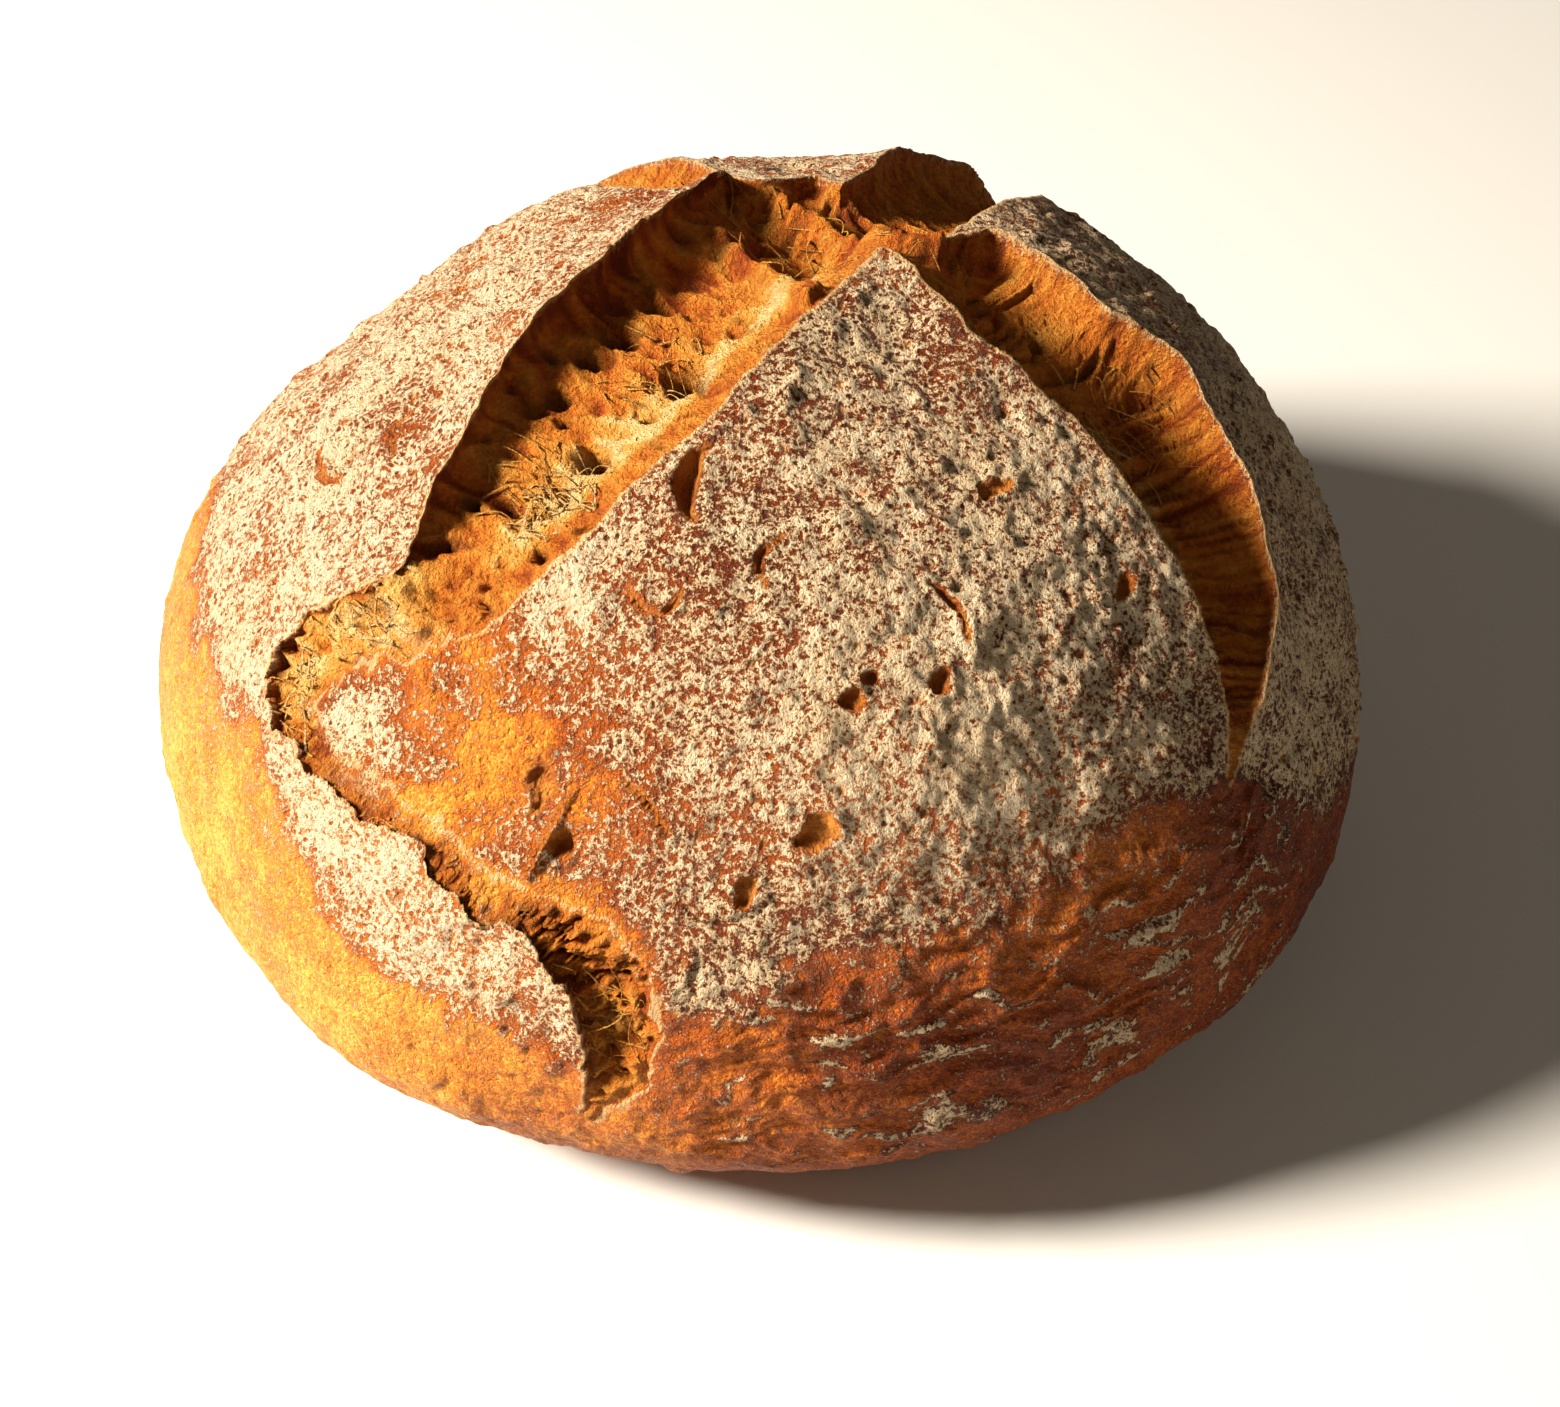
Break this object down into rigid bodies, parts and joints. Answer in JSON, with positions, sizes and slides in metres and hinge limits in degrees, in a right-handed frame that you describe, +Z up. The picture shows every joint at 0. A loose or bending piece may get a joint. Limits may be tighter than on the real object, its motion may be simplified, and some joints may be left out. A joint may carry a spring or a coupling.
{
  "type": "sourdough loaf",
  "caption": "Round crusty loaf with a flour-dusted dome, opened on top by crossed slashes with raised lips and a side crack, on a flat base that rests on a surface.",
  "frame": {"origin": "centre of the flat base, below the middle of the loaf", "axes": "+Z up through the dome; -Y is the front, the side that the long unbroken flap of crust between two slashes slopes down; +X is to the right as the front is faced"},
  "size_m": [0.2199, 0.2208, 0.1295],
  "materials": {
    "crust": null
  },
  "bodies": {
    "root": {"sourdough_loaf": "crust"}
  },
  "joints": []
}
